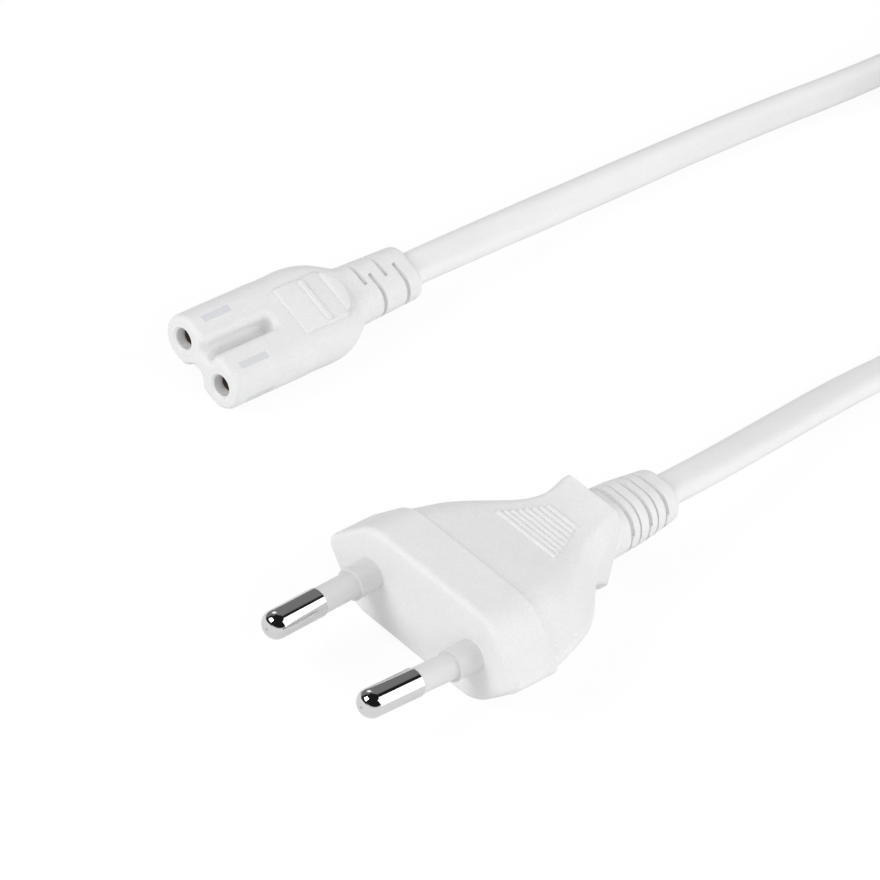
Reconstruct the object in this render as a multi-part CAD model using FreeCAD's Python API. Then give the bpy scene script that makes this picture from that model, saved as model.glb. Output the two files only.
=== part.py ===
"""Mains lead in white plastic: a figure-eight appliance connector, a flat twin cord and a two-pin plug.

Each end is drawn in its own frame, with x = 0 at its mating face, x running towards the cord and z up,
and is then placed in the lead's frame. The connector's sockets face -X, and the lead lies on z = 0.
All sizes are in mm.
"""
import math
import os

import FreeCAD
import Part

V = FreeCAD.Vector
ALONG = V(1, 0, 0)
ACROSS = V(0, 1, 0)
UP = V(0, 0, 1)
IN_PLANE = 1e-3

# Connector: mating end
socket_spacing = 8.6
lobe_diameter = 6.9
groove_floor = 1.1
groove_width = 2.3
groove_lip_radius = 1.0
groove_floor_radius = 0.8
groove_length = 10.8
valley_floor = 1.6
valley_lip_radius = 1.5
valley_floor_radius = 1.7
valley_length = 10.0
front_edge_radius = 0.8

# Connector: grip, shoulders and bend relief
connector_length = 38.6
grip_start = 14.0
shoulder_sections = (  # distance behind the face, width, height
    (18.0, 15.5, 6.9),
    (20.4, 15.3, 6.9),
    (22.6, 14.3, 6.8),
    (24.6, 12.4, 6.6),
    (26.2, 10.3, 6.3),
    (27.6, 9.2, 6.0),
)
relief_end_width = 8.4
relief_end_height = 5.7
relief_end_radius = 1.0
relief_slot_width = 0.7
relief_slot_starts = (28.8, 30.5, 32.8, 35.1)
relief_slot_overlap = 0.7
relief_core_wall = 0.35

# Connector: raised panel, bar and thumb pad on the top
panel_start = 15.0
panel_length = 7.8
panel_width = 7.8
panel_rise = 0.15
bar_start = 19.2
bar_length = 0.65
bar_width = 7.2
bar_rise = 0.2
thumb_pad_start = 23.1
thumb_pad_length = 2.7
thumb_pad_width = 7.0
thumb_pad_rise = 0.35
thumb_pad_fall = 0.45
raised_root = 1.0

# Connector: contact carrier and contacts
carrier_diameter = 5.0
carrier_length = 12.0
carrier_bore = 3.1
carrier_bridge_start = 8.5
carrier_bridge_height = 1.7
window_start = 2.2
window_length = 5.0
window_width = 1.1
socket_lead_in = 0.3
contact_clearance = 0.05
contact_start = 1.5
contact_wall = 0.3
contact_depth = 9.5
contact_slit = 0.4
crimp_diameter = 2.2
crimp_length = 4.5
crimp_floor = 0.6

# Plug: front block
plug_width = 35.3
plug_height = 13.7
plug_flat_width = 22.9
plug_side_height = 1.3
plug_side_radius = 1.5
plug_shoulder_radius = 6.0
block_depth = 7.6
block_front_radius = 0.9

# Plug: grip, from the block to the flared tail
grip_sections = (  # behind the block, width, height, flat top's width, side's height, shoulder radius
    (-0.4, 33.6, 13.2, 21.8, 1.4, 6.0),
    (4.4, 32.2, 11.9, 20.6, 1.3, 6.0),
    (8.8, 29.2, 10.7, 18.4, 1.3, 5.0),
    (13.0, 23.4, 10.0, 14.2, 1.6, 3.0),
    (16.6, 16.4, 10.1, 10.6, 3.2, 1.6),
    (19.6, 12.6, 11.1, 9.0, 6.0, 1.0),
    (21.4, 11.7, 12.4, 8.8, 8.2, 0.9),
)
tail_end = 30.3
tail_width = 11.6
tail_flat_width = 8.9
tail_side_height = 10.0
tail_shoulder_radius = 0.8
rib_count = 8
rib_start = 18.3
rib_pitch = 0.95
rib_length = 10.8
rib_length_step = 0.79
rib_diameter = 0.9
rib_rise = 0.3

# Plug: bend relief
plug_length = 44.9
plug_relief_root_width = 11.4
plug_relief_root_height = 11.0
plug_relief_root_length = 2.8
plug_relief_root_sink = 0.3
plug_relief_start_width = 10.7
plug_relief_start_height = 8.4
plug_relief_middle = 37.8
plug_relief_middle_width = 9.9
plug_relief_middle_height = 7.9
plug_relief_end_width = 8.3
plug_relief_end_height = 6.2
plug_relief_edge = 1.2
ring_start = 34.1
ring_pitch = 1.82
ring_count = 5
ring_width = 0.35
ring_depth = 0.45
deep_slot_width = 0.75
deep_slot_side_web = 1.6

# Plug: pins, their sleeves and the bridge that carries them
pin_diameter = 4.0
pin_length = 19.0
pin_base_spacing = 19.0
pin_tip_spacing = 17.8
pin_tip_radius = 1.7
bare_length = 9.1
shank_diameter = 3.0
sleeve_diameter = 3.66
sleeve_seat = 2.8
collar_diameter = 4.5
collar_length = 3.75
bridge_start = 1.6
bridge_depth = 4.6
bridge_width = 26.0
bridge_height = 5.4
pin_tail_length = 5.0
pin_tail_diameter = 2.6

# Flat twin cord
cord_width = 5.2
cord_thickness = 3.2
core_diameter = 2.0
core_spacing = 2.1
strand_diameter = 1.1
connector_jacket_end = 28.2
plug_jacket_end = 29.0
strip_length = 1.0
core_straight = 3.0

# Where the two ends lie
connector_roll = 17.0
plug_offset = V(-12.7, -56.3, 0)

# Put-away coil and its tie
coil_centre = V(152, -30, 0)
coil_middle_radius = 26.0
coil_wall = 13.6
coil_height = 10.6
coil_edge_radius = 2.0
tie_thickness = 0.8
tie_width = 9.0

# Heights of the two ends' own axes above the surface that the lead lies on
socket_half_spacing = socket_spacing / 2
lobe_radius = lobe_diameter / 2
connector_axis_height = lobe_radius + socket_half_spacing * math.sin(math.radians(connector_roll))
plug_axis_height = plug_height / 2

# Cord routes, each from inside an end to the coil
connector_route = (
    V(connector_jacket_end - connector_length / 2, 0, connector_axis_height),
    V(30, 0, connector_axis_height),
    V(56, 1.1, 3.0),
    V(88, 1.3, 2.55),
    V(118, -0.6, 2.7),
    V(138, -0.3, 3.3),
    V(156, 1.1, 3.4),
)
plug_route = (
    plug_offset + V(plug_jacket_end - connector_length / 2, 0, plug_axis_height),
    plug_offset + V(30.7, 0, plug_axis_height),
    V(38, -53.6, 4.3),
    V(60, -51.2, 2.4),
    V(86, -51.8, 2.0),
    V(110, -55.4, 3.0),
    V(134, -60.0, 6.0),
    V(156, -61.1, 8.6),
)
arc_share = 0.45


def box(x, y, z, length, width, height):
    """Block from x and from z, centred across at y."""
    return Part.makeBox(length, width, height, V(x, y - width / 2, z))


def rod(x, length, diameter, y=0.0):
    """Round rod along x."""
    return Part.makeCylinder(diameter / 2, length, V(x, y, 0), ALONG)


def stadium(x, width, height):
    """Closed outline with round ends, across x."""
    end = height / 2
    half = width / 2 - end
    right = Part.Arc(V(x, half, end), V(x, half + end, 0), V(x, half, -end))
    left = Part.Arc(V(x, -half, -end), V(x, -half - end, 0), V(x, -half, end))
    lower = Part.LineSegment(V(x, half, -end), V(x, -half, -end))
    upper = Part.LineSegment(V(x, -half, end), V(x, half, end))
    return Part.Wire([edge.toShape() for edge in (right, lower, left, upper)])


def prism(outline, length):
    """Solid drawn from an outline along x."""
    return Part.Face(outline).extrude(ALONG * length)


def turn_at(before, at, after):
    """Angle by which a route turns at a point."""
    return (at - before).getAngle(after - at)


def tangent_arc(before, at, after, radius):
    """Start, middle and end of the arc of this radius that rounds a corner."""
    back = (before - at).normalize()
    ahead = (after - at).normalize()
    half_turn = turn_at(before, at, after) / 2
    reach = radius * math.tan(half_turn)
    inward = (back + ahead).normalize()
    middle = at + inward * (radius / math.cos(half_turn) - radius)
    return at + back * reach, middle, at + ahead * reach


def rounded_outline(corners, radii):
    """Closed outline of straight sides with every corner rounded."""
    count = len(corners)
    arcs = []
    for i, corner in enumerate(corners):
        arcs.append(tangent_arc(corners[i - 1], corner, corners[(i + 1) % count], radii[i]))
    edges = []
    for i, (start, middle, end) in enumerate(arcs):
        edges.append(Part.Arc(start, middle, end).toShape())
        edges.append(Part.LineSegment(end, arcs[(i + 1) % count][0]).toShape())
    return Part.Wire(edges)


def plug_section(x, width, height, flat_width, side_height, shoulder_radius):
    """Eight-sided section of the plug: flat top and bottom, sloping shoulders and blunt sides."""
    side = width / 2
    top = height / 2
    flat = flat_width / 2
    blunt = side_height / 2
    upper = [(side, blunt), (flat, top), (-flat, top), (-side, blunt)]
    corners = [V(x, y, z) for y, z in upper]
    corners += [V(x, y, -z) for y, z in reversed(upper)]
    radii = [plug_side_radius, shoulder_radius, shoulder_radius, plug_side_radius]
    return rounded_outline(corners, 2 * radii)


def route_wire(points, name):
    """Straight runs joined by the largest tangent arcs that they allow; prints the arcs' radii."""
    edges = []
    start = points[0]
    radii = []
    for before, at, after in zip(points, points[1:], points[2:]):
        shorter = min((at - before).Length, (after - at).Length)
        radius = arc_share * shorter / math.tan(turn_at(before, at, after) / 2)
        first, middle, last = tangent_arc(before, at, after, radius)
        edges.append(Part.LineSegment(start, first).toShape())
        edges.append(Part.Arc(first, middle, last).toShape())
        radii.append(round(radius, 1))
        start = last
    edges.append(Part.LineSegment(start, points[-1]).toShape())
    wire = Part.Wire(edges)
    print(name, "length", round(wire.Length, 1), "radii", radii)
    return wire


def sweep(wire, outline):
    """Solid of one section along a route, kept upright."""
    pipe = Part.BRepOffsetAPI.MakePipeShell(wire)
    pipe.setBiNormalMode(UP)
    pipe.add(outline)
    pipe.build()
    pipe.makeSolid()
    return pipe.shape()


def cord_section(at, roll):
    """The cord's outline at the start of a route that leaves along x, turned about it."""
    outline = stadium(0, cord_width, cord_thickness)
    outline.rotate(V(0, 0, 0), ALONG, roll)
    outline.translate(at)
    return outline


def nose_prism(length):
    """Plain oval of the mating end, as far back as a length."""
    return prism(stadium(0, socket_spacing + lobe_diameter, lobe_diameter), length)


def connector_body():
    """Outer form of the over-moulding: grooved nose, grip, shoulders and tapered relief."""
    nose = nose_prism(grip_start)
    sections = [stadium(grip_start, socket_spacing + lobe_diameter, lobe_diameter)]
    sections += [stadium(x, width, height) for x, width, height in shoulder_sections]
    shoulders = Part.makeLoft(sections, True)
    nose = nose.cut(nose_grooves())
    front_edges = [edge for edge in nose.Edges if edge.BoundBox.XMax < IN_PLANE]
    nose = nose.makeFillet(front_edge_radius, front_edges)
    relief_end = stadium(connector_length, relief_end_width, relief_end_height)
    relief = rounded_taper([sections[-1], relief_end], relief_end_radius)
    return nose.fuse(shoulders).fuse(relief).fuse(top_details()).removeSplitter()


def arc_about(centre, radius, first, last):
    """Round stretch about a centre, from one direction to another."""
    middle = (first + last).normalize()
    return Part.Arc(centre + first * radius, centre + middle * radius, centre + last * radius)


def groove_half():
    """Half section of the groove above the web: flat floor, upright wall and rounded lip."""
    wall = groove_width / 2
    top = lobe_radius
    floor_end = V(0, wall - groove_floor_radius, groove_floor)
    lip_end = V(0, wall + groove_lip_radius, top)
    root = arc_about(floor_end + UP * groove_floor_radius, groove_floor_radius, -UP, ACROSS)
    lip = arc_about(lip_end - UP * groove_lip_radius, groove_lip_radius, -ACROSS, UP)
    side = Part.LineSegment(root.EndPoint, lip.StartPoint)
    floor = Part.LineSegment(V(0, 0, groove_floor), floor_end)
    return closed_face([floor, root, side, lip], [lip_end, V(0, 0, top), V(0, 0, groove_floor)])


def valley_half():
    """Half section of the wider valley below the web: a round floor that runs into a round lip."""
    root_centre = V(0, 0, -valley_floor - valley_floor_radius)
    reach = valley_floor_radius + valley_lip_radius
    fall = valley_lip_radius - lobe_radius - root_centre.z
    lip_centre = root_centre + V(0, math.sqrt(reach ** 2 - fall ** 2), fall)
    outward = (lip_centre - root_centre).normalize()
    root = arc_about(root_centre, valley_floor_radius, UP, outward)
    lip = arc_about(lip_centre, valley_lip_radius, -outward, -UP)
    return closed_face([root, lip], [lip.EndPoint, V(0, 0, -lobe_radius), V(0, 0, -valley_floor)])


def closed_face(curves, corners):
    """Face inside a chain of curves that straight sides close."""
    sides = [Part.LineSegment(first, second) for first, second in zip(corners, corners[1:])]
    return Part.Face(Part.Wire([edge.toShape() for edge in curves + sides]))


def groove(half, length):
    """Groove along x from the face, with a round end."""
    straight = half.extrude(ALONG * length)
    end = half.copy()
    end.translate(ALONG * length)
    end = end.revolve(ALONG * length, UP, -180)
    return straight.fuse(straight.mirror(V(0, 0, 0), ACROSS)).fuse(end)


def nose_grooves():
    """The groove above the web between the lobes, and the valley below it."""
    return Part.Compound([groove(groove_half(), groove_length), groove(valley_half(), valley_length)])


def rounded_taper(outlines, radius):
    """Straight taper through outlines, with the edge of its far end rounded."""
    taper = Part.makeLoft(outlines, True, True)
    far = taper.BoundBox.XMax
    rim = [edge for edge in taper.Edges if edge.BoundBox.XMin > far - IN_PLANE]
    return taper.makeFillet(radius, rim)


def relief_core(x, length):
    """What every relief slot leaves standing round the cord."""
    wall = 2 * relief_core_wall
    return prism(stadium(x, cord_width + wall, cord_thickness + wall), length)


def relief_slots():
    """Slots of the connector's relief, cut in turn from one side and from the other."""
    reach = socket_spacing + lobe_diameter
    slots = []
    for i, start in enumerate(relief_slot_starts):
        side = 1 if i % 2 == 0 else -1
        middle = side * (reach / 2 - relief_slot_overlap)
        slot = box(start, middle, -reach / 2, relief_slot_width, reach, reach)
        slots.append(slot.cut(relief_core(start, relief_slot_width)))
    return Part.Compound(slots)


def top_details():
    """Raised panel with its cross bar, and the D-shaped thumb pad behind it."""
    top = lobe_radius
    root = top - raised_root
    panel = box(panel_start, 0, root, panel_length, panel_width, raised_root + panel_rise)
    bar = box(bar_start, 0, root, bar_length, bar_width, raised_root + panel_rise + bar_rise)
    half = thumb_pad_width / 2
    front = Part.LineSegment(V(thumb_pad_start, -half, root), V(thumb_pad_start, half, root))
    back = Part.Arc(V(thumb_pad_start, half, root), V(thumb_pad_start + thumb_pad_length, 0, root),
                    V(thumb_pad_start, -half, root))
    outline = Part.Face(Part.Wire([front.toShape(), back.toShape()]))
    pad = outline.extrude(UP * (raised_root + thumb_pad_rise))
    slope = math.degrees(math.atan2(thumb_pad_fall, thumb_pad_length))
    crest = top + thumb_pad_rise
    above = box(thumb_pad_start, 0, crest, 2 * thumb_pad_length, 2 * thumb_pad_width, raised_root)
    above.rotate(V(thumb_pad_start, 0, crest), ACROSS, slope)
    return panel.fuse(bar).fuse(pad.cut(above))


def carrier_outside():
    """Outer form of the contact carrier: two barrels with window pads, joined by a bridge at the back."""
    bridge_length = carrier_length - carrier_bridge_start
    solid = box(carrier_bridge_start, 0, -carrier_bridge_height / 2, bridge_length, socket_spacing,
                carrier_bridge_height)
    for side in (1, -1):
        y = side * socket_half_spacing
        outer_y = y + side * lobe_radius / 2
        upright = box(window_start, y, -lobe_radius, window_length, window_width, lobe_diameter)
        outward = box(window_start, outer_y, -window_width / 2, window_length, lobe_radius, window_width)
        pads = upright.fuse(outward).common(nose_prism(carrier_length))
        solid = solid.fuse(rod(0, carrier_length, carrier_diameter, y)).fuse(pads)
    return solid.removeSplitter()


def socket_bore(side):
    """Bore for one contact, with a cone at its mouth that leads the pin in."""
    y = side * socket_half_spacing
    bore_radius = carrier_bore / 2
    mouth = Part.makeCone(bore_radius + socket_lead_in, bore_radius, socket_lead_in, V(0, y, 0), ALONG)
    return rod(0, carrier_length, carrier_bore, y).fuse(mouth)


def contact(side):
    """Split spring sleeve that grips a pin, with its crimp barrel behind."""
    y = side * socket_half_spacing
    outer = carrier_bore - 2 * contact_clearance
    sleeve = rod(contact_start, carrier_length - contact_start, outer, y)
    barrel = rod(carrier_length, crimp_length, crimp_diameter, y)
    slit = box(contact_start, y + side * outer / 2, -contact_slit / 2, contact_depth, outer, contact_slit)
    hollow = rod(contact_start, contact_depth, outer - 2 * contact_wall, y)
    return sleeve.fuse(barrel).cut(hollow).cut(slit).removeSplitter()


def pin_frame(shape, side):
    """Turns a piece that is drawn along x through the origin onto one pin's leaning axis."""
    lean = math.degrees(math.atan2((pin_base_spacing - pin_tip_spacing) / 2, pin_length))
    placed = shape.copy()
    placed.rotate(V(0, 0, 0), UP, side * lean)
    placed.translate(V(0, side * pin_base_spacing / 2, 0))
    return placed


def pin_blank():
    """Plated pin with a rounded tip, a slimmer shank under its sleeve and a tail for the conductor."""
    head = rod(-pin_length, bare_length, pin_diameter)
    tip = [edge for edge in head.Edges if edge.BoundBox.XMax < IN_PLANE - pin_length]
    head = head.makeFillet(pin_tip_radius, tip)
    bridge_end = bridge_start + bridge_depth
    shank = rod(bare_length - pin_length, pin_length - bare_length + bridge_end, shank_diameter)
    return head.fuse(shank).fuse(rod(bridge_end, pin_tail_length, pin_tail_diameter)).removeSplitter()


def sleeve_blank():
    """Insulating sleeve on the pin's shank, seated in the collar."""
    start = bare_length - pin_length
    length = sleeve_seat - collar_length - start
    return rod(start, length, sleeve_diameter).cut(rod(start, length, shank_diameter))


def bridge_outside():
    """Outer form of the bridge that carries both pins, with the collars that show round them."""
    solid = box(bridge_start, 0, -bridge_height / 2, bridge_depth, bridge_width, bridge_height)
    reach = collar_length + bridge_start + bridge_depth / 2
    for side in (1, -1):
        solid = solid.fuse(pin_frame(rod(-collar_length, reach, collar_diameter), side))
    return solid


def plug_body():
    """Outer form of the plug: front block, waisted grip with its ribs, flared tail and bend relief."""
    front = plug_section(0, plug_width, plug_height, plug_flat_width, plug_side_height, plug_shoulder_radius)
    block = prism(front, block_depth)
    rim = [edge for edge in block.Edges if edge.BoundBox.XMax < IN_PLANE]
    block = block.makeFillet(block_front_radius, rim)
    sections = [plug_section(block_depth + x, *sizes) for x, *sizes in grip_sections]
    sections.append(plug_section(tail_end, tail_width, plug_height, tail_flat_width, tail_side_height,
                                 tail_shoulder_radius))
    grip = Part.makeLoft(sections, True)
    relief = plug_relief().fuse(relief_root())
    return block.fuse(grip).fuse(grip_ribs(grip)).fuse(relief).removeSplitter()


def grip_ribs(grip):
    """Fine cross ribs on the grip's top and bottom, shorter towards the tail."""
    ribs = []
    for i in range(rib_count):
        x = rib_start + i * rib_pitch
        length = rib_length - i * rib_length_step
        probe = Part.makeLine(V(x, 0, 0), V(x, 0, plug_height)).common(grip)
        z = probe.BoundBox.ZMax + rib_rise - rib_diameter / 2
        for height in (z, -z):
            ribs.append(Part.makeCylinder(rib_diameter / 2, length, V(x, -length / 2, height), ACROSS))
    return ribs


def plug_relief_outlines(inset):
    """Sections of the plug's relief, drawn in all round by an inset."""
    sizes = ((tail_end, plug_relief_start_width, plug_relief_start_height),
             (plug_relief_middle, plug_relief_middle_width, plug_relief_middle_height),
             (plug_length, plug_relief_end_width, plug_relief_end_height))
    return [stadium(x, width - 2 * inset, height - 2 * inset) for x, width, height in sizes]


def relief_root():
    """Hollow flare by which the relief grows out of the tail's back, sunk into the relief at its end."""
    end_width = plug_relief_start_width - plug_relief_root_sink
    end_height = plug_relief_start_height - plug_relief_root_sink
    sections = []
    for along, rest in ((0, 1), (1 / 3, 1 / 3), (1, 0)):
        width = end_width + rest * (plug_relief_root_width - end_width)
        height = end_height + rest * (plug_relief_root_height - end_height)
        sections.append(stadium(tail_end + along * plug_relief_root_length, width, height))
    return Part.makeLoft(sections, True)


def plug_relief():
    """Tapered oval relief with rings round it, every second one cut deep above and below."""
    taper = rounded_taper(plug_relief_outlines(0), plug_relief_edge)
    inner = Part.makeLoft(plug_relief_outlines(ring_depth), True, True)
    for i in range(ring_count):
        start = ring_start + i * ring_pitch
        taper = taper.cut(box(start, 0, -plug_height / 2, ring_width, plug_width, plug_height).cut(inner))
        if i % 2 == 0:
            taper = taper.cut(deep_slot(start))
    return taper


def deep_slot(start):
    """Slot above and below the cord that leaves a web at each side."""
    slot = box(start, 0, -plug_height / 2, deep_slot_width, plug_width, plug_height)
    web = box(start, 0, -deep_slot_side_web / 2, deep_slot_width, plug_width, deep_slot_side_web)
    return slot.cut(relief_core(start, deep_slot_width)).cut(web)


def conductor(side, jacket_end, target, strands_end, name):
    """Insulation and strands of one core, from the end of the jacket to where the strands are crimped."""
    start = V(jacket_end, side * core_spacing / 2, 0)
    end = V(target.x, side * target.y, 0)
    points = [start, start - ALONG * core_straight, end + ALONG * core_straight, end]
    insulated = route_wire(points, name)
    bared = Part.LineSegment(end, V(strands_end, end.y, 0)).toShape()
    outer = Part.Wire(Part.makeCircle(core_diameter / 2, start, ALONG))
    inner = Part.Wire(Part.makeCircle(strand_diameter / 2, start, ALONG))
    strands = sweep(Part.Wire(insulated.Edges + [bared]), inner)
    return sweep(insulated, outer).cut(strands), strands


def build_connector():
    """The connector's pieces in its own frame."""
    pieces = {}
    outside = carrier_outside()
    housing = connector_body().cut(relief_slots()).cut(outside)
    pieces["connector_carrier"] = outside.cut(socket_bore(1)).cut(socket_bore(-1))
    crimp_end = carrier_length + crimp_length
    for side, name in ((1, "left"), (-1, "right")):
        target = V(crimp_end + strip_length, socket_half_spacing, 0)
        skin, strands = conductor(side, connector_jacket_end, target, carrier_length + crimp_floor,
                                  "connector core " + name)
        sleeve = contact(side)
        housing = housing.cut(sleeve).cut(skin).cut(strands)
        pieces["contact_" + name] = sleeve.cut(strands)
        pieces["connector_core_" + name] = skin
        pieces["connector_strands_" + name] = strands
    jacket_length = connector_length - connector_jacket_end
    jacket = prism(stadium(connector_jacket_end, cord_width, cord_thickness), jacket_length)
    pieces["connector_housing"] = housing.cut(jacket)
    return pieces


def build_plug():
    """The plug's pieces in its own frame."""
    pieces = {}
    outside = bridge_outside()
    housing = plug_body().cut(outside)
    bridge = outside
    tail_x = bridge_start + bridge_depth + pin_tail_length
    lean = (pin_base_spacing - pin_tip_spacing) / 2 / pin_length
    tail_y = pin_base_spacing / 2 + tail_x * lean
    for side, name in ((1, "left"), (-1, "right")):
        target = V(tail_x + strip_length, tail_y, 0)
        skin, strands = conductor(side, plug_jacket_end, target, bridge_start + bridge_depth + crimp_floor,
                                  "plug core " + name)
        pin = pin_frame(pin_blank(), side)
        sleeve = pin_frame(sleeve_blank(), side)
        bridge = bridge.cut(pin).cut(sleeve)
        housing = housing.cut(pin).cut(skin).cut(strands)
        pieces["pin_" + name] = pin.cut(strands)
        pieces["pin_sleeve_" + name] = sleeve
        pieces["plug_core_" + name] = skin
        pieces["plug_strands_" + name] = strands
    jacket = prism(stadium(plug_jacket_end, cord_width, cord_thickness), plug_length - plug_jacket_end)
    pieces["plug_bridge"] = bridge
    pieces["plug_housing"] = housing.cut(jacket)
    return pieces


def build_coil():
    """Put-away turns as one ring, and the band that ties them."""
    inner = coil_middle_radius - coil_wall / 2
    outer = inner + coil_wall
    bottom = tie_thickness
    top = bottom + coil_height
    corners = [V(inner, 0, bottom), V(outer, 0, bottom), V(outer, 0, top), V(inner, 0, top)]
    outline = rounded_outline(corners, [coil_edge_radius] * len(corners))
    coil = Part.Face(outline).revolve(V(0, 0, 0), UP, 360)
    tie_length = coil_wall + 2 * tie_thickness
    tie = box(inner - tie_thickness, 0, 0, tie_length, tie_width, top + tie_thickness).cut(coil)
    for shape in (coil, tie):
        shape.translate(coil_centre)
    return coil, tie


def build_lead():
    """Every piece in the lead's frame, by name."""
    lead = {}
    face_x = -connector_length / 2
    for name, shape in build_connector().items():
        shape.rotate(V(0, 0, 0), ALONG, connector_roll)
        shape.translate(V(face_x, 0, connector_axis_height))
        lead[name] = shape
    for name, shape in build_plug().items():
        shape.translate(V(face_x, 0, plug_axis_height) + plug_offset)
        lead[name] = shape
    coil, tie = build_coil()
    lead["cord_coil"] = coil
    lead["cord_tie"] = tie
    runs = {"cord_connector_run": (connector_route, connector_roll), "cord_plug_run": (plug_route, 0)}
    for name, (route, roll) in runs.items():
        tube = sweep(route_wire(route, name), cord_section(route[0], roll))
        lead[name] = tube.cut(coil)
    return lead


def main():
    os.makedirs("parts", exist_ok=True)
    for name, shape in build_lead().items():
        shape.exportStep(f"parts/{name}.step")
        print(name, "solids", len(shape.Solids), "valid", shape.isValid(), "volume", round(shape.Volume, 2))


main()
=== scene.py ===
import math

import bpy
from mathutils import Matrix, Vector


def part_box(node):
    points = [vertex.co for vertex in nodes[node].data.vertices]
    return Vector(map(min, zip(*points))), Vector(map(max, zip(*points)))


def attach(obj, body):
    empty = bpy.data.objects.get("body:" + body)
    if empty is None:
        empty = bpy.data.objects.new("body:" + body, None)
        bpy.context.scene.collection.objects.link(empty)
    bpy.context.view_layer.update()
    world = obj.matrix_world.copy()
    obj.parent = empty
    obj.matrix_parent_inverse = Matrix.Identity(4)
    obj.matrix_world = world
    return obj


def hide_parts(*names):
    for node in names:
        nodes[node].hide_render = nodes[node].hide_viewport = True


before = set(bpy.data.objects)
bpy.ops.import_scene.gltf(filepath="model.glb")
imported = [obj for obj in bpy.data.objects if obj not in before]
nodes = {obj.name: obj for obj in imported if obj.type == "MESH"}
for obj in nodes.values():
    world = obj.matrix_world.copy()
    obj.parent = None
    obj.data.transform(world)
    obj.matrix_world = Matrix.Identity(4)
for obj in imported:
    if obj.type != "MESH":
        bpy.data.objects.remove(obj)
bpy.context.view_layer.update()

MM = 0.001

# Colour sockets of a Mix node
MIX_FIRST = 6
MIX_SECOND = 7
MIX_RESULT = 2

# Camera
camera_place = Vector((-459.5, -395.1, 459.7)) * MM
camera_azimuth = math.radians(-51.37)
camera_elevation = math.radians(37.88)
camera_roll = math.radians(12.02)
camera_lens = 225
camera_reach = 20

# How the two ends lie, in millimetres: the connector along x with a roll in degrees, the plug flat beside it
connector_face = -19.3
connector_height = 4.7072
connector_roll = 17
plug_side = -56.3
plug_height = 6.85

# Flat twin cord, in millimetres, with its length in metres. The route has the points of the CAD runs, each with the
# roll of the cord's wide side in degrees
cord_width = 5.2
cord_thickness = 3.2
cord_steps = 8
section_arc_steps = 10
connector_route = [
    ((8.9, 0, connector_height), connector_roll),
    ((30, 0, connector_height), connector_roll),
    ((56, 1.1, 3.0), 55),
    ((88, 1.3, 2.55), 75),
    ((118, -0.6, 2.7), 85),
    ((138, -0.3, 3.3), 90),
    ((156, 1.1, 3.4), 90),
]
plug_route = [
    ((-3.0, plug_side, plug_height), 0),
    ((18, plug_side, plug_height), 0),
    ((38, -53.6, 4.3), 0),
    ((60, -51.2, 2.4), 5),
    ((86, -51.8, 2.0), 20),
    ((110, -55.4, 3.0), 60),
    ((134, -60.0, 6.0), 90),
    ((156, -61.1, 8.6), 90),
]

# Coil of the length that is put away: turns on edge, four on the floor winding in, the others on top winding out. The
# smooth curve runs inside its points by curve_pull_in, and the places of the steps are counted in turns
coil_centre = Vector((152, -30, 0))
coil_outer_radius = 31.1
coil_pitch = 3.4
coil_roll = 90
floor_turns = 4
all_turns = 6.5
points_per_turn = 16
floor_layer_height = 3.4
top_layer_height = 8.7
curve_pull_in = 0.981
rise_start = 3.3
rise_end = 3.8
inward_step_start = 0.8
inward_step_length = 0.15
outward_step_length = 0.3

# Edges that are softened and faces that are smoothed, by the angle between faces
sharp_above = math.radians(50)
smooth_below = math.radians(40)

# Strap round the coil, in millimetres
strap_thickness = 0.7
strap_corner = 2.6
strap_corner_segments = 6
strap_soft_edge = 0.2
strap_edge_segments = 2
strap_tail_length = 9.5
strap_tail_shift = 0.5
strap_tail_inset = 0.4
strap_tail_sink = 0.05
strap_tail_round = 3.2
strap_tail_segments = 8

# Raised panel on the connector with its cross bar and D-shaped thumb pad, in millimetres from the mating face along
# the connector and from its axis upwards
raised_root = 3.1
panel_start = 14.86
panel_side = 8.08
panel_crest = 3.74
panel_soft_edge = 0.29
bar_middle = 19.55
bar_length = 0.95
bar_width = 7.3
bar_crest = 4.1
bar_soft_edge = 0.3
plate_edge_segments = 3
pad_start = 22.95
pad_ridge = 23.5
pad_length = 1.85
pad_width = 7.1
pad_foot = panel_crest
pad_crest = 4.12
pad_back = 4.22
pad_spare = 1.775
pad_soft_edge = 0.2
pad_edge_segments = 4
pad_round_steps = 96

# Insides of the two bend reliefs, which show at the bottom of their grooves and slots, in millimetres: three sections,
# each with its place from the relief's end, and the relief's width and height there
plug_axis = (plug_side, plug_height)
plug_roll = 0
plug_relief_sections = [(-12.0, 10.7, 8.4), (-7.1, 9.9, 7.9), (-0.8, 8.6, 6.5)]
connector_axis = (0, connector_height)
connector_relief_sections = [(-10.2, 9.14, 5.98), (-5.9, 8.83, 5.86), (-1.6, 8.52, 5.74)]
relief_groove_depth = 0.6
relief_corner_share = 0.499
relief_corner_segments = 12
same_place = 0.01

# Places on the two ends that their finishes follow, in millimetres
carrier_radius = 2.5
socket_bore_radius = 1.55
socket_reach = 4.3
socket_line = Vector((0, math.cos(math.radians(connector_roll)), math.sin(math.radians(connector_roll))))
socket_middles = [
    Vector((0, 0, connector_height)) + socket_line * reach for reach in (socket_reach, -socket_reach)
]
pin_tip = -51.0
pin_tip_reach = 8.9
pin_tips = [Vector((pin_tip, plug_side + reach, plug_height)) for reach in (pin_tip_reach, -pin_tip_reach)]

# Detail of the finest patterns
fine_detail = 3

# Mouldings: sizes of grain and cloud in millimetres, and how much they change the gloss and the tone
grain_size = 0.3
fine_grain_size = 0.16
fine_grain_share = 0.4
grain_gloss = 0.1
cloud_size = 4
cloud_tone = 0.06

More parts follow.
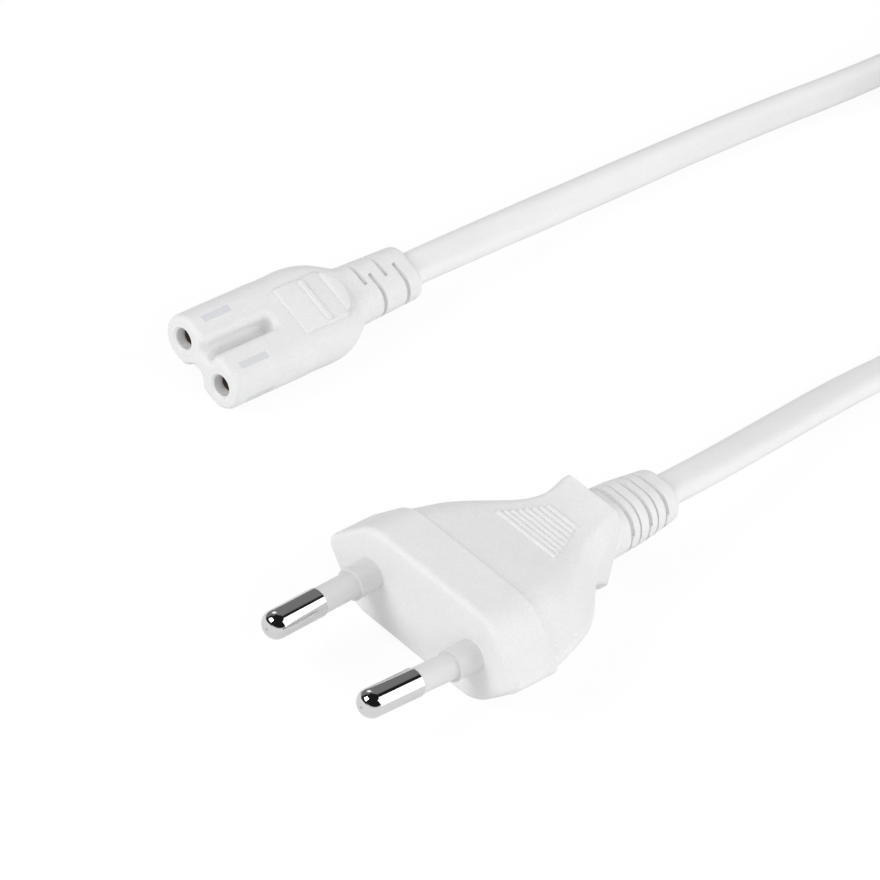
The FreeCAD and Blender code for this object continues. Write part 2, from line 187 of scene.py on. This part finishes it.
# Insert: where its tones and the painted shade inside its socket bores begin and end, in millimetres from the mating
# face or from the edge of a ring
window_steps = (1.0, 1.4)
# Painted shade in the socket bores: how far behind the face it starts, and its edge at the bore's rim
bore_shade_steps = (0.2, 0.8)
bore_shade_edge_steps = (0.02, 0.08)
seam_steps = (-0.14, -0.04)
seam_share = 0.6

# Cord jacket: sizes and depth in millimetres
jacket_tone = 0.9
streak_size = 12
streak_tone = 0.08
wave_size = 6
wave_depth = 0.1
speck_size = 0.3
speck_tone = 0.12
speck_gloss = 0.08
speck_relief = 0.06

# Strap weave: size and depth in millimetres
weave_scale = 300
weave_wander = 0.6
weave_depth = 0.08
weave_tone = 0.9
rib_tone = 0.1
weave_roughness = 0.7
fuzz_size = 0.4
fuzz_relief = 0.5
fuzz_roughness = 0.2

# Bare metal and plating: sizes in millimetres
mark_size = 0.7
metal_tone = 0.9
mark_tone = 0.15
mark_roughness = 0.1
wear_size = 0.4
wear_squeeze = (0.15, 1, 1)
plating_tone = 0.96
wear_tone = 0.06
plating_roughness = 0.03
wear_roughness = 0.06
tip_mark_steps = (0.1, 0.22)
tip_mark_tone = 0.5
tip_mark_roughness = 0.3

# Colours
housing_white = (0.8, 0.8, 0.805)
window_white = (0.68, 0.69, 0.72)
# Grey of the painted shade deep in the socket bores, not a colour of the plastic
bore_painted_shade = (0.7, 0.69, 0.71)
sleeve_grey = (0.7, 0.7, 0.7)
strap_grey = (0.78, 0.78, 0.78)
jacket_white = (0.815, 0.815, 0.815)
nickel_tint = (0.72, 0.72, 0.715)
brass_tint = (0.72, 0.69, 0.63)
copper_tint = (0.85, 0.5, 0.35)
core_brown = (0.12, 0.05, 0.025)
core_blue = (0.03, 0.08, 0.35)

# Studio, in metres: the table, the glowing walls that only mirrors show, a painted reflection, and the even light
# around
floor_size = 8
floor_drop = 0.0001
floor_grey = 0.85
floor_white = 1.04
floor_white_share = 0.85
floor_share_in_mirrors = 0.35
room_radius = 3
room_segments = 48
room_rings = 24
room_start = 0.02
# Glow of the walls, which only mirrors show, as a painted reflection: faint overall, paler far away, bright at the
# near foot
wall_reflection_level = 0.015
far_wall_direction = (0.22, 0.25, 0)
far_wall_steps = (0.3, 0.4)
far_wall_reflection_level = 0.2
foot_heights = (0.3, 0.6)
foot_sides = (-0.5, 0.5)
foot_reflection_level = 0.8
surroundings_level = 0.48

# Soft boxes: direction, width and height in metres, power in watts, and whether mirrors show them
lamp_target = Vector((0, -0.03, 0.005))
lamp_distance = 1.1
lamps = [
    ("soft_box_left", (-0.74, 0.38, 0.56), 0.55, 0.55, 5.4, True),
    ("soft_box_back", (0.2335, 0.7536, 0.6127), 0.38, 0.38, 0.5, True),
    ("soft_box_right", (0.62, -0.62, 0.40), 0.9, 1.0, 5.7, True),
    ("soft_box_near", (-0.50, -0.76, 0.46), 0.7, 0.7, 3.0, False),
]

# Pieces that go with the cord's far end
plug_nodes = [
    "plug_housing", "plug_bridge", "pin_left", "pin_right", "pin_sleeve_left", "pin_sleeve_right",
    "plug_core_left", "plug_core_right", "plug_strands_left", "plug_strands_right",
]


class Wire:
    """An output of a shader's node tree. Arithmetic on it adds the nodes that do the sum."""

    def __init__(self, tree, socket=None):
        self.tree = tree
        self.socket = socket

    def node(self, kind, settings, inputs, output=0):
        """Adds a node with its settings made first, then its inputs filled or linked."""
        made = self.tree.nodes.new(kind)
        for name, value in settings.items():
            setattr(made, name, value)
        for name, value in inputs.items():
            if isinstance(value, Wire):
                self.tree.links.new(value.socket, made.inputs[name])
            else:
                made.inputs[name].default_value = value
        return Wire(self.tree, made.outputs[output] if len(made.outputs) else None)

    def maths(self, operation, first, second):
        return self.node("ShaderNodeMath", {"operation": operation}, {0: first, 1: second})

    def __add__(self, other):
        return self.maths("ADD", self, other)

    def __radd__(self, other):
        return self.maths("ADD", other, self)

    def __sub__(self, other):
        return self.maths("SUBTRACT", self, other)

    def __rsub__(self, other):
        return self.maths("SUBTRACT", other, self)

    def __mul__(self, other):
        return self.maths("MULTIPLY", self, other)

    def __rmul__(self, other):
        return self.maths("MULTIPLY", other, self)


def add_camera():
    """Long lens that looks down on the sockets, with the horizon tipped as in the photograph."""
    data = bpy.data.cameras.new("camera")
    data.lens = camera_lens
    data.clip_end = camera_reach
    camera = bpy.data.objects.new("camera", data)
    bpy.context.scene.collection.objects.link(camera)
    turn = Matrix.Rotation(camera_azimuth, 4, "Z") @ Matrix.Rotation(math.pi / 2 - camera_elevation, 4, "X")
    camera.matrix_world = Matrix.Translation(camera_place) @ turn @ Matrix.Rotation(camera_roll, 4, "Z")
    bpy.context.scene.camera = camera


def eased(share):
    """Share of a step that is done, with a soft start and end."""
    share = min(max(share, 0.0), 1.0)
    return share * share * (3 - 2 * share)


def coil_stop(turn):
    """Point of the coil after so many turns, clockwise from the far side."""
    whole = math.floor(turn)
    if turn < floor_turns:
        steps = min(whole + eased((turn - whole - inward_step_start) / inward_step_length), floor_turns - 1)
    else:
        outward = whole - floor_turns + eased((turn - whole) / outward_step_length)
        steps = floor_turns - 1 - outward
    radius = (coil_outer_radius - coil_pitch * steps) / curve_pull_in
    angle = math.pi / 2 - turn * math.tau
    risen = eased((turn - rise_start) / (rise_end - rise_start))
    height = floor_layer_height + (top_layer_height - floor_layer_height) * risen
    return coil_centre + Vector((radius * math.cos(angle), radius * math.sin(angle), height))


def cord_stops():
    """Every point of the cord with its roll, from inside the connector to inside the plug."""
    stops = list(connector_route)
    for step in range(1, round(all_turns * points_per_turn)):
        stops.append((coil_stop(step / points_per_turn), coil_roll))
    return stops + plug_route[::-1]


def cord_section():
    """Outline of the flat cord: two half rounds joined by straight sides."""
    data = bpy.data.curves.new("cord_section", "CURVE")
    data.dimensions = "2D"
    radius = cord_thickness / 2 * MM
    reach = (cord_width - cord_thickness) / 2 * MM
    outline = []
    for side in (1, -1):
        for step in range(section_arc_steps + 1):
            angle = math.pi * (step / section_arc_steps - side / 2)
            outline.append((side * reach + radius * math.cos(angle), radius * math.sin(angle)))
    spline = data.splines.new("POLY")
    spline.points.add(len(outline) - 1)
    for point, place in zip(spline.points, outline):
        point.co = (*place, 0, 1)
    spline.use_cyclic_u = True
    section = bpy.data.objects.new("cord_section", data)
    bpy.context.scene.collection.objects.link(section)
    section.hide_render = True
    return section


def add_cord():
    """The whole cord as one smooth curve."""
    data = bpy.data.curves.new("mains_cord", "CURVE")
    data.dimensions = "3D"
    data.twist_mode = "Z_UP"
    data.bevel_mode = "OBJECT"
    data.bevel_object = cord_section()
    data.use_fill_caps = True
    data.resolution_u = cord_steps
    stops = cord_stops()
    spline = data.splines.new("NURBS")
    spline.points.add(len(stops) - 1)
    for point, (place, roll) in zip(spline.points, stops):
        point.co = (*(Vector(place) * MM), 1)
        point.tilt = math.radians(roll)
    spline.order_u = 3
    spline.use_endpoint_u = True
    cord = bpy.data.objects.new("mains_cord", data)
    bpy.context.scene.collection.objects.link(cord)
    return cord


def add_block(name, middle, size):
    """Block of a size about its middle, as a start for modelling."""
    bpy.ops.object.select_all(action="DESELECT")
    bpy.ops.mesh.primitive_cube_add(size=1, location=middle)
    block = bpy.context.object
    block.name = name
    block.scale = size
    bpy.ops.object.transform_apply(location=True, rotation=False, scale=True)
    return block


def clear_selection(kind):
    """Leaves no vertex, edge or face selected, ready to select edges or faces by a test."""
    bpy.ops.object.mode_set(mode="EDIT")
    bpy.ops.mesh.select_mode(type=kind)
    bpy.ops.mesh.select_all(action="DESELECT")
    bpy.ops.object.mode_set(mode="OBJECT")


def select_faces(thing, wanted):
    """Goes into edit mode with only the faces that pass a test selected."""
    clear_selection("FACE")
    for face in thing.data.polygons:
        face.select = wanted(face)
    bpy.ops.object.mode_set(mode="EDIT")


def select_edges(thing, wanted):
    """Goes into edit mode with only the edges selected whose two ends pass a test."""
    clear_selection("EDGE")
    points = thing.data.vertices
    for edge in thing.data.edges:
        edge.select = wanted(*(points[i].co for i in edge.vertices))
    bpy.ops.object.mode_set(mode="EDIT")


def round_selected(width, segments):
    """Rounds the selected edges and leaves edit mode."""
    bpy.ops.mesh.bevel(offset=width * MM, segments=segments, affect="EDGES")
    bpy.ops.object.mode_set(mode="OBJECT")


def cut(place, away, drop):
    """Cuts a mesh by a plane, and can drop what lies beyond the plane and close the cut."""
    bpy.ops.object.mode_set(mode="EDIT")
    bpy.ops.mesh.select_all(action="SELECT")
    bpy.ops.mesh.bisect(plane_co=place * MM, plane_no=away, clear_outer=drop, use_fill=drop)
    bpy.ops.object.mode_set(mode="OBJECT")


def soften(thing, width, segments):
    """Rounds the sharp edges and smooths the rest."""
    bevel = thing.modifiers.new("soft_edge", "BEVEL")
    bevel.width = width * MM
    bevel.segments = segments
    bevel.limit_method = "ANGLE"
    bevel.angle_limit = sharp_above
    bpy.ops.object.modifier_apply(modifier=bevel.name)
    bpy.ops.object.shade_smooth_by_angle(angle=smooth_below)


def join(things):
    """Makes one object of several; the first keeps its name."""
    bpy.ops.object.select_all(action="DESELECT")
    for thing in things:
        thing.select_set(True)
    bpy.context.view_layer.objects.active = things[0]
    bpy.ops.object.join()
    return things[0]


def set_down(thing, place, roll):
    """Rolls a piece about its length and moves it to where it lies, all in its mesh."""
    thing.rotation_euler = (math.radians(roll), 0, 0)
    thing.location = place
    bpy.ops.object.transform_apply(location=True, rotation=True, scale=False)


def add_strap_band(low, high):
    """Flat band round the coil's wall, rounded at its corners."""
    band = add_block("coil_strap", (low + high) / 2, high - low)
    select_faces(band, lambda face: abs(face.normal.y) > 0.5)
    bpy.ops.mesh.delete(type="ONLY_FACE")
    bpy.ops.object.mode_set(mode="OBJECT")
    select_edges(band, lambda first, second: abs(first.y - second.y) > (high.y - low.y) / 2)
    round_selected(strap_corner, strap_corner_segments)
    wall = band.modifiers.new("wall", "SOLIDIFY")
    wall.thickness = strap_thickness * MM
    wall.offset = -1
    bpy.ops.object.modifier_apply(modifier=wall.name)
    soften(band, strap_soft_edge, strap_edge_segments)
    return band


def add_strap_tail(low, high):
    """Free end of the strap, laid over the band on top and round at its tip."""
    middle = (low + high) / 2
    lift = strap_thickness / 2 - strap_tail_sink
    place = Vector((middle.x - strap_tail_shift * MM, middle.y, high.z + lift * MM))
    width = high.y - low.y - 2 * strap_tail_inset * MM
    tail = add_block("strap_tail", place, (strap_tail_length * MM, width, strap_thickness * MM))
    select_edges(tail, lambda first, second: abs(first.z - second.z) > 0 and first.x < place.x)
    round_selected(strap_tail_round, strap_tail_segments)
    soften(tail, strap_soft_edge, strap_edge_segments)
    return tail


def add_strap():
    """Soft flat strap in the place of the plain band."""
    low, high = (Vector(corner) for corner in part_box("cord_tie"))
    return join([add_strap_band(low, high), add_strap_tail(low, high)])


def add_plate(name, middle, length, width, crest, soft_edge):
    """Flat plate on the connector's top with softly rounded edges."""
    height = crest - raised_root
    plate = add_block(
        name, Vector((middle, 0, raised_root + height / 2)) * MM, Vector((length, width, height)) * MM)
    soften(plate, soft_edge, plate_edge_segments)
    return plate


def add_thumb_pad():
    """D-shaped pad behind the panel: straight sloping front, round back, and a nearly level top."""
    pad_end = pad_start + pad_length
    radius = ((pad_width / 2) ** 2 + pad_length ** 2) / (2 * pad_length)
    height = max(pad_crest, pad_back) + pad_spare - raised_root
    bpy.ops.object.select_all(action="DESELECT")
    bpy.ops.mesh.primitive_cylinder_add(
        vertices=pad_round_steps, radius=radius * MM, depth=height * MM,
        location=Vector((pad_end - radius, 0, raised_root + height / 2)) * MM)
    pad = bpy.context.object
    pad.name = "thumb_pad"
    bpy.ops.object.transform_apply(location=True, rotation=False, scale=True)
    ridge = Vector((pad_ridge, 0, pad_crest))
    cut(Vector((pad_start, 0, 0)), (-1, 0, 0), drop=True)
    cut(ridge, (pad_foot - pad_crest, 0, pad_ridge - pad_start), drop=True)
    cut(ridge, (pad_crest - pad_back, 0, pad_end - pad_ridge), drop=True)
    soften(pad, pad_soft_edge, pad_edge_segments)
    return pad


def add_raised_panel():
    """Panel, bar and thumb pad in one piece, set on the connector as it lies."""
    panel = add_plate(
        "raised_panel", panel_start + panel_side / 2, panel_side, panel_side, panel_crest, panel_soft_edge)
    bar = add_plate("cross_bar", bar_middle, bar_length, bar_width, bar_crest, bar_soft_edge)
    raised = join([panel, bar, add_thumb_pad()])
    set_down(raised, Vector((connector_face, 0, connector_height)) * MM, connector_roll)
    return raised


def add_relief_core(name, housing, axis, roll, sections):
    """Tapered oval inside of a bend relief, just below its surface, set in the relief as it lies."""
    (start, _, _), (middle, width, height), (end, _, _) = sections
    length = end - start
    core = add_block(name, Vector(((start + end) / 2, 0, 0)) * MM, Vector((length, width, height)) * MM)
    select_edges(core, lambda first, second: abs(first.x - second.x) > length / 2 * MM)
    round_selected(relief_corner_share * height, relief_corner_segments)
    cut(Vector((middle, 0, 0)), (1, 0, 0), drop=False)
    shrink = 2 * relief_groove_depth
    for x, section_width, section_height in sections:
        select_edges(core, lambda *ends: all(abs(point.x - x * MM) < same_place * MM for point in ends))
        bpy.ops.transform.resize(
            value=(1, (section_width - shrink) / width, (section_height - shrink) / height),
            center_override=(x * MM, 0, 0))
        bpy.ops.object.mode_set(mode="OBJECT")
    bpy.ops.object.shade_smooth_by_angle(angle=smooth_below)
    set_down(core, (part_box(housing)[1].x, *(Vector(axis) * MM)), roll)
    return core


def new_tree(owner):
    """Empty node tree of a material or of the world."""
    owner.use_nodes = True
    owner.node_tree.nodes.clear()
    return Wire(owner.node_tree)


def new_material(name):
    """Empty material and the start of its node tree."""
    material = bpy.data.materials.new(name)
    return material, new_tree(material)


def close_material(start, shader):
    """Ends a material's node tree with its shader."""
    start.node("ShaderNodeOutputMaterial", {}, {"Surface": shader})


def object_place(start):
    """Place of a point on the object, which every pattern follows."""
    return start.node("ShaderNodeTexCoord", {}, {}, "Object")


def along(place, axis):
    """One coordinate of a place."""
    return place.node("ShaderNodeSeparateXYZ", {}, {"Vector": place}, axis)


def ramp(value, start, end):
    """Rises from 0 to 1 between two values."""
    return value.node("ShaderNodeMapRange", {}, {"Value": value, "From Min": start, "From Max": end})


def ramp_from(value, place, steps):
    """Rises from 0 to 1 between two steps from a place, in millimetres."""
    return ramp(value, *((place + step) * MM for step in steps))


def opaque(colour):
    """A colour for a Mix node, whether it is written out or varies."""
    return colour if isinstance(colour, Wire) else (*colour, 1)


def tinted(colour, tone):
    """A colour made lighter or darker by a tone that varies."""
    return tone.node(
        "ShaderNodeMix", {"data_type": "RGBA", "blend_type": "MULTIPLY"},
        {"Factor": 1.0, MIX_FIRST: opaque(colour), MIX_SECOND: tone}, MIX_RESULT)


def blended(first, second, share):
    """Mix of two colours by a share that varies."""
    return share.node(
        "ShaderNodeMix", {"data_type": "RGBA"},
        {"Factor": share, MIX_FIRST: opaque(first), MIX_SECOND: opaque(second)}, MIX_RESULT)


def scaled(place, factors):
    """A place with its coordinates multiplied."""
    return place.node("ShaderNodeVectorMath", {"operation": "MULTIPLY"}, {0: place, 1: factors})


def nearest(place, spots):
    """Distance to the nearer of two places."""
    reaches = [
        place.node("ShaderNodeVectorMath", {"operation": "DISTANCE"}, {0: place, 1: spot * MM}, "Value")
        for spot in spots
    ]
    return place.maths("MINIMUM", *reaches)


def noise(place, size, detail=2):
    """Mottle with spots of about a size in millimetres."""
    return place.node("ShaderNodeTexNoise", {}, {"Vector": place, "Scale": 1 / (size * MM), "Detail": detail})


def bumps(height, depth):
    """Relief of a depth in millimetres from a pattern."""
    return height.node("ShaderNodeBump", {}, {"Strength": 1.0, "Distance": depth * MM, "Height": height})


def principled(start, inputs):
    """Surface shader."""
    return start.node("ShaderNodeBsdfPrincipled", {}, inputs)


def moulded_surface(place, shade, roughness, grain_depth, speckle):
    """Shader of a spark-grained moulding: two sizes of grain in relief, in tone and in gloss."""
    grain = (1 - fine_grain_share) * noise(place, grain_size) + fine_grain_share * noise(place, fine_grain_size)
    return principled(place, {
        "Base Color": tinted(shade, 1 - speckle / 2 + speckle * grain),
        "Roughness": roughness + grain_gloss * (grain - 0.5),
        "Normal": bumps(grain, grain_depth),
    })


def plastic(name, colour, roughness, grain_depth, speckle):
    """Moulded plastic with a fine grain and a faint cloud in its tone."""
    material, start = new_material(name)
    place = object_place(start)
    shade = tinted(colour, 1 - cloud_tone / 2 + cloud_tone * noise(place, cloud_size))
    close_material(start, moulded_surface(place, shade, roughness, grain_depth, speckle))
    return material


def carrier_plastic(name, roughness, grain_depth, speckle):
    """The insert's plastic: white at the mating face, with a fine seam round it, cooler in windows, and painted shade
    deeper in the bores.
    """
    material, start = new_material(name)
    place = object_place(start)
    x = along(place, "X")
    near_socket = nearest(scaled(place, (0, 1, 1)), socket_middles)
    inside = ramp_from(x, connector_face, window_steps)
    seam = ramp_from(near_socket, carrier_radius, seam_steps)
    shade = blended(housing_white, window_white, inside + seam_share * seam * (1 - inside))
    # Painted shade inside the socket bores, from a little behind the mating face inwards
    outside_bore_shade = ramp_from(near_socket, socket_bore_radius, bore_shade_edge_steps)
    shade = blended(shade, bore_painted_shade, ramp_from(x, connector_face, bore_shade_steps) * (1 - outside_bore_shade))
    close_material(start, moulded_surface(place, shade, roughness, grain_depth, speckle))
    return material


def jacket(name, colour, roughness):
    """Soft extruded jacket: smooth, with long faint waves and specks."""
    material, start = new_material(name)
    place = object_place(start)
    specks = noise(place, speck_size)
    tone = jacket_tone + streak_tone * noise(place, streak_size) + speck_tone * specks
    close_material(start, principled(start, {
        "Base Color": tinted(colour, tone),
        "Roughness": roughness + speck_gloss * (specks - 0.5),
        "Normal": bumps(noise(place, wave_size) + speck_relief * specks, wave_depth),
    }))
    return material


def strap_weave(name, colour):
    """Woven strap with fine ribs across it."""
    material, start = new_material(name)
    place = object_place(start)
    ribs = start.node(
        "ShaderNodeTexWave", {"bands_direction": "Y"},
        {"Vector": place, "Scale": weave_scale, "Distortion": weave_wander}, "Fac")
    fuzz = noise(place, fuzz_size, fine_detail)
    close_material(start, principled(start, {
        "Base Color": tinted(colour, weave_tone + rib_tone * ribs),
        "Roughness": weave_roughness + fuzz_roughness * fuzz,
        "Normal": bumps(ribs + fuzz_relief * fuzz, weave_depth),
    }))
    return material


def metal(name, colour, roughness):
    """Bare stamped metal with faint drawing marks."""
    material, start = new_material(name)
    marks = noise(object_place(start), mark_size, fine_detail)
    close_material(start, principled(start, {
        "Base Color": tinted(colour, metal_tone + mark_tone * marks),
        "Metallic": 1.0,
        "Roughness": roughness + mark_roughness * marks,
    }))
    return material


def plated(name, colour):
    """Bright plating with hairline wear, and the small mark that turning leaves at the middle of each tip."""
    material, start = new_material(name)
    place = object_place(start)
    wear = noise(scaled(place, wear_squeeze), wear_size, fine_detail)
    mark = 1 - ramp_from(nearest(place, pin_tips), 0, tip_mark_steps)
    close_material(start, principled(start, {
        "Base Color": tinted(colour, (plating_tone + wear_tone * wear) * (1 - tip_mark_tone * mark)),
        "Metallic": 1.0,
        "Roughness": plating_roughness + wear_roughness * wear + tip_mark_roughness * mark,
    }))
    return material


def paint(thing, material):
    """Gives an object one material."""
    thing.data.materials.clear()
    thing.data.materials.append(material)


def seen_directly(start, in_mirrors=1.0):
    """1 where the camera looks, straight or through glass, a share of that in mirrors, and 0 for light elsewhere."""
    camera = start.node("ShaderNodeLightPath", {}, {}, "Is Camera Ray")
    mirrored = start.node("ShaderNodeLightPath", {}, {}, "Is Glossy Ray")
    through = start.node("ShaderNodeLightPath", {}, {}, "Is Transmission Ray")
    return start.maths("MAXIMUM", camera, start.maths("MAXIMUM", mirrored * in_mirrors, through))


def add_floor():
    """White table that keeps a faint shadow under the object."""
    bpy.ops.object.select_all(action="DESELECT")
    bpy.ops.mesh.primitive_plane_add(size=floor_size, location=(0, 0, -floor_drop))
    floor = bpy.context.object
    floor.name = "floor"
    material, start = new_material("table_white")
    lit = start.node("ShaderNodeBsdfDiffuse", {}, {"Color": (floor_grey, floor_grey, floor_grey, 1)})
    white = start.node("ShaderNodeEmission", {}, {"Color": (1, 1, 1, 1), "Strength": floor_white})
    share = floor_white_share * seen_directly(start, floor_share_in_mirrors)
    close_material(start, start.node("ShaderNodeMixShader", {}, {0: share, 1: lit, 2: white}))
    paint(floor, material)


def add_reflection_room():
    """Glowing walls that only mirrors show, a painted reflection of the studio: paler on the far side and at the foot
    on the near side.
    """
    bpy.ops.object.select_all(action="DESELECT")
    bpy.ops.mesh.primitive_uv_sphere_add(segments=room_segments, ring_count=room_rings, radius=room_radius)
    room = bpy.context.object
    room.name = "reflection_room"
    bpy.ops.object.mode_set(mode="EDIT")
    bpy.ops.mesh.select_all(action="SELECT")
    bpy.ops.mesh.bisect(plane_co=(0, 0, room_start), plane_no=(0, 0, 1), clear_inner=True)
    bpy.ops.object.mode_set(mode="OBJECT")
    material, start = new_material("painted_reflection_wall")
    place = object_place(start)
    far = start.node("ShaderNodeVectorMath", {"operation": "DOT_PRODUCT"}, {0: place, 1: far_wall_direction}, "Value")
    foot = (1 - ramp(along(place, "Z"), *foot_heights)) * (1 - ramp(along(place, "Y"), *foot_sides))
    # Glow of the painted reflection: faint overall, paler on the far side, bright at the foot on the near side
    level = wall_reflection_level + far_wall_reflection_level * ramp(far, *far_wall_steps) + foot_reflection_level * foot
    close_material(start, start.node("ShaderNodeEmission", {}, {"Color": level, "Strength": 1.0}))
    paint(room, material)
    room.visible_camera = False
    room.visible_diffuse = False
    room.visible_transmission = False
    room.visible_shadow = False


def add_world():
    """Even surroundings, white where the camera sees them."""
    world = bpy.data.worlds.new("surroundings")
    bpy.context.scene.world = world
    start = new_tree(world)
    level = surroundings_level + (1 - surroundings_level) * seen_directly(start)
    sky = start.node("ShaderNodeBackground", {}, {"Color": level, "Strength": 1.0})
    start.node("ShaderNodeOutputWorld", {}, {"Surface": sky})


def add_lamp(name, direction, width, height, power, mirrored):
    """Soft box that faces the middle of the picture."""
    data = bpy.data.lights.new(name, "AREA")
    data.shape = "RECTANGLE"
    data.size = width
    data.size_y = height
    data.energy = power
    lamp = bpy.data.objects.new(name, data)
    bpy.context.scene.collection.objects.link(lamp)
    towards = Vector(direction).normalized()
    lamp.location = lamp_target + towards * lamp_distance
    lamp.rotation_euler = towards.to_track_quat("Z", "Y").to_euler()
    lamp.visible_camera = False
    lamp.visible_glossy = mirrored


bpy.context.scene.view_settings.view_transform = "Standard"
add_camera()
cord = add_cord()
strap = add_strap()
raised_panel = add_raised_panel()
plug_relief_core = add_relief_core("plug_relief_core", "plug_housing", plug_axis, plug_roll, plug_relief_sections)
connector_relief_core = add_relief_core(
    "connector_relief_core", "connector_housing", connector_axis, connector_roll, connector_relief_sections)
add_floor()
add_reflection_room()
add_world()
for lamp in lamps:
    add_lamp(*lamp)

moulded_white = plastic("moulded_white", housing_white, roughness=0.5, grain_depth=0.1, speckle=0.2)
insert_white = carrier_plastic("insert_white", roughness=0.45, grain_depth=0.04, speckle=0.1)
sleeve_white = plastic("sleeve_white", sleeve_grey, roughness=0.4, grain_depth=0.03, speckle=0.06)
brown_core = plastic("core_brown", core_brown, roughness=0.4, grain_depth=0.01, speckle=0.06)
blue_core = plastic("core_blue", core_blue, roughness=0.4, grain_depth=0.01, speckle=0.06)
nickel = plated("plated_pin", nickel_tint)
brass = metal("contact_brass", brass_tint, roughness=0.35)
copper = metal("copper_strands", copper_tint, roughness=0.3)

finishes = [
    (moulded_white, ["connector_housing", "plug_housing"]),
    (insert_white, ["connector_carrier"]),
    (sleeve_white, ["plug_bridge", "pin_sleeve_left", "pin_sleeve_right"]),
    (nickel, ["pin_left", "pin_right"]),
    (brass, ["contact_left", "contact_right"]),
    (brown_core, ["connector_core_left", "plug_core_left"]),
    (blue_core, ["connector_core_right", "plug_core_right"]),
    (copper, ["connector_strands_left", "connector_strands_right", "plug_strands_left", "plug_strands_right"]),
]
for finish, names in finishes:
    for name in names:
        paint(nodes[name], finish)

for piece in (raised_panel, plug_relief_core, connector_relief_core):
    paint(piece, moulded_white)
    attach(piece, "root")

paint(strap, strap_weave("tie_band", strap_grey))
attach(strap, "root")
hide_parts("cord_tie")

paint(cord, jacket("cord_jacket", jacket_white, roughness=0.45))
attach(cord, "root")
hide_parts("cord_connector_run", "cord_coil", "cord_plug_run")
[nodes[name] for name in plug_nodes] + [strap, plug_relief_core]
